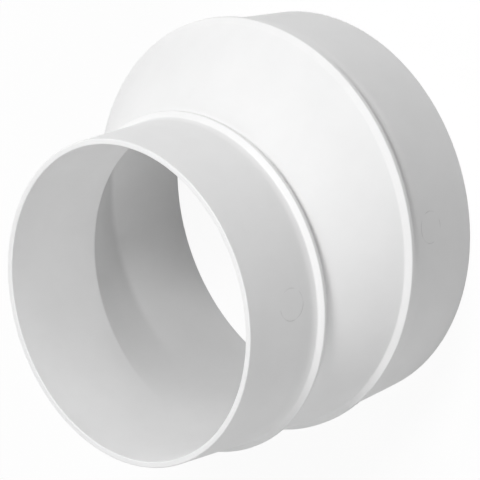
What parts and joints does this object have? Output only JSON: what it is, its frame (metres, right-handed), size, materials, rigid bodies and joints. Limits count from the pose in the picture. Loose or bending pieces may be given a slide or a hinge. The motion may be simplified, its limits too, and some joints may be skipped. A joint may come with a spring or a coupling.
{
  "type": "eccentric duct reducer",
  "caption": "Moulded plastic reducer that joins a wide round air duct to a narrower one set off its axis, with a raised stop collar behind each spigot.",
  "frame": {"origin": "centre of the large mouth, on the large duct's axis, where the part stands", "axes": "+Z along the large duct's axis from the large mouth to the small one, +X towards the side where both ducts run level"},
  "size_m": [0.1285, 0.1276, 0.0853],
  "materials": {
    "white_plastic": "satin moulded"
  },
  "bodies": {
    "root": {"reducer": "white_plastic"}
  },
  "joints": []
}
